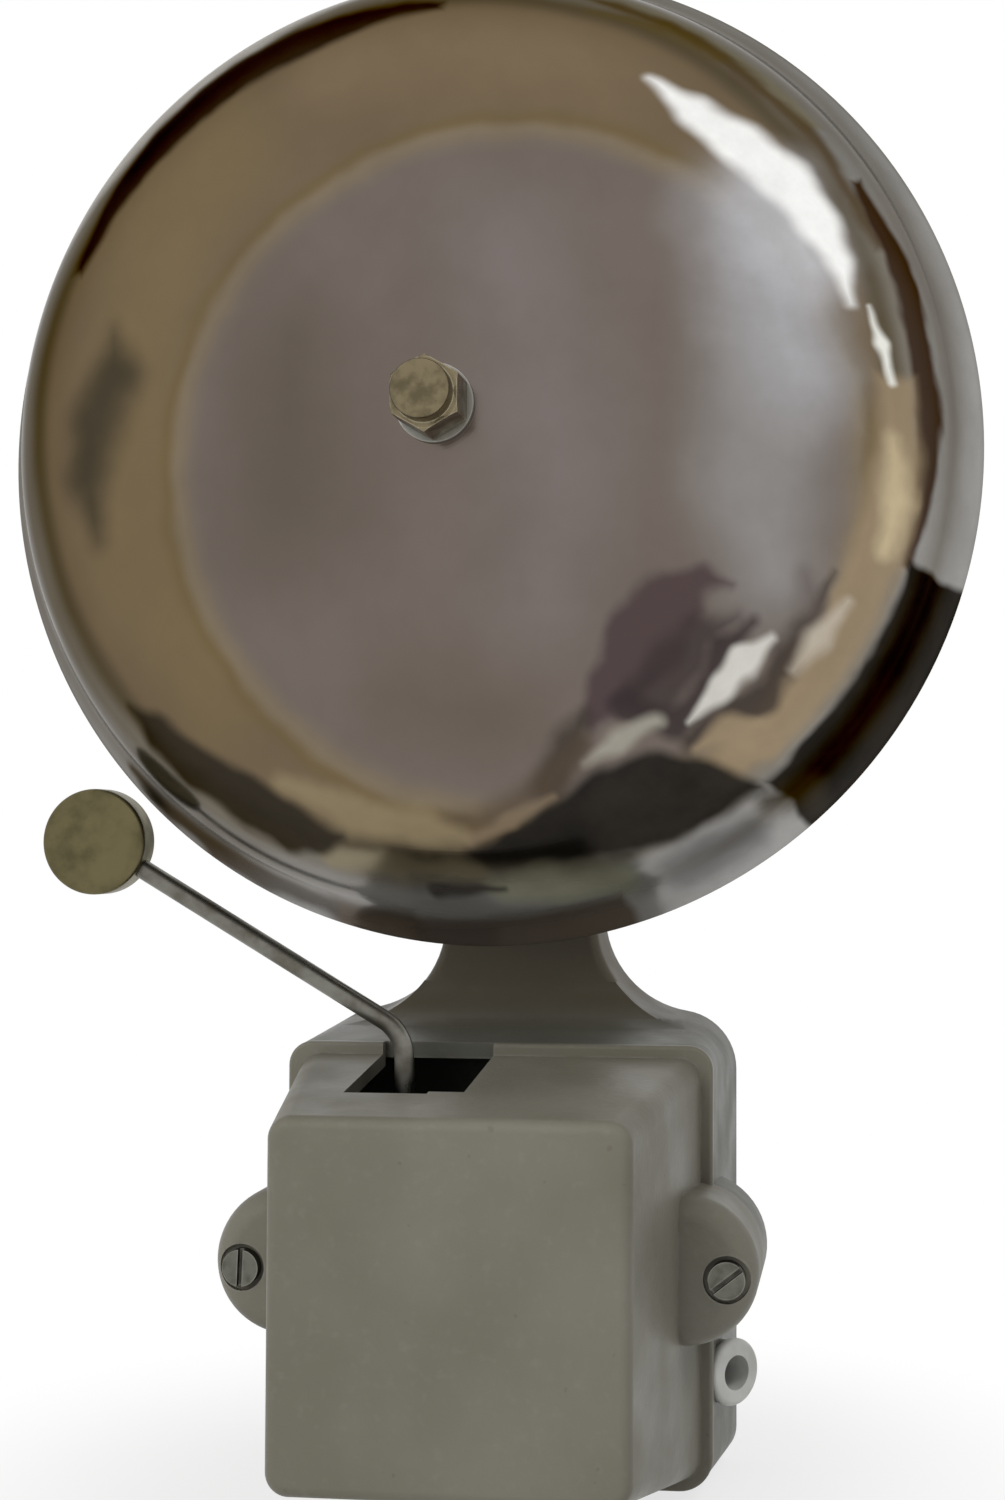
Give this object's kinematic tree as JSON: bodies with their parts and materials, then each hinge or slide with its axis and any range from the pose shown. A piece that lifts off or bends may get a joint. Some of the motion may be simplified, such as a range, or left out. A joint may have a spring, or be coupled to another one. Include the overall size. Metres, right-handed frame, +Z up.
{
  "type": "electric gong bell",
  "caption": "Wall-mounted electric bell: a polished gong on a cast bracket above an iron case, with a hammer on a bent rod driven by an electromagnet and a make-and-break contact.",
  "frame": {"origin": "on the wall plane, midway between the two lower wall-screw holes", "axes": "+Z up, +Y into the wall, +X to the right of somebody who faces the bell"},
  "size_m": [0.2, 0.1217, 0.3156],
  "materials": {
    "casting_paint": "satin, pebbled casting under enamel",
    "cover_paint": "satin enamel over a cast cover",
    "gong_plate": "polished plating, slightly tarnished",
    "zinc_steel": "zinc plated",
    "bright_steel": "turned and polished",
    "brass": "dull brass",
    "fibre": "pressed fibre",
    "bush_plastic": "moulded, light grey",
    "phenolic": "moulded, dark brown",
    "winding_wrap": "varnished copper winding",
    "soft_iron": "soft iron, lightly blackened",
    "silver_contact": "silver contact",
    "phosphor_bronze": "springy bronze strip"
  },
  "bodies": {
    "bell": {"rear_casting": "casting_paint", "front_cover": "cover_paint", "cover_screws": "zinc_steel", "cable_bush": "bush_plastic", "gong": "gong_plate", "gong_pillar": "bright_steel", "gong_seat_washer": "fibre", "gong_nut_washer": "zinc_steel", "gong_nut": "brass", "pivot_pin": "bright_steel", "magnet_frame": "zinc_steel", "frame_screws": "zinc_steel", "magnet_core_rear": "soft_iron", "magnet_core_front": "soft_iron", "bobbin_rear": "phenolic", "bobbin_front": "phenolic", "winding_rear": "winding_wrap", "winding_front": "winding_wrap", "core_screws": "zinc_steel", "return_spring": "bright_steel", "spring_anchor": "bright_steel", "contact_block": "phenolic", "contact_arm": "brass", "contact_block_screws": "zinc_steel", "contact_lock_nut": "brass", "terminal_block": "phenolic", "terminal_saddles": "brass", "terminal_screws": "brass", "terminal_block_screw": "zinc_steel"},
    "hammer": {"armature": "soft_iron", "hammer_rod": "bright_steel", "hammer_head": "brass", "rod_clamp_screw": "zinc_steel", "contact_leaf": "phosphor_bronze", "leaf_rivets": "brass", "moving_contact": "silver_contact"},
    "contact_screw": {"contact_screw": "brass"}
  },
  "joints": [
    {"name": "hammer_swing", "type": "hinge", "parent": "bell", "child": "hammer", "pos_m": [-0.017, -0.03, 0.052], "axis": [0, 1, 0], "range_deg": [0, 1], "stiffness_Nm_per_rad": 0.02, "springref_deg": -20.05, "deforming": ["return_spring"]},
    {"name": "contact_screw_turn", "type": "hinge", "parent": "bell", "child": "contact_screw", "pos_m": [0.031, -0.048, 0.06], "axis": [0, 0, 1], "range_deg": [-180, 180]}
  ]
}
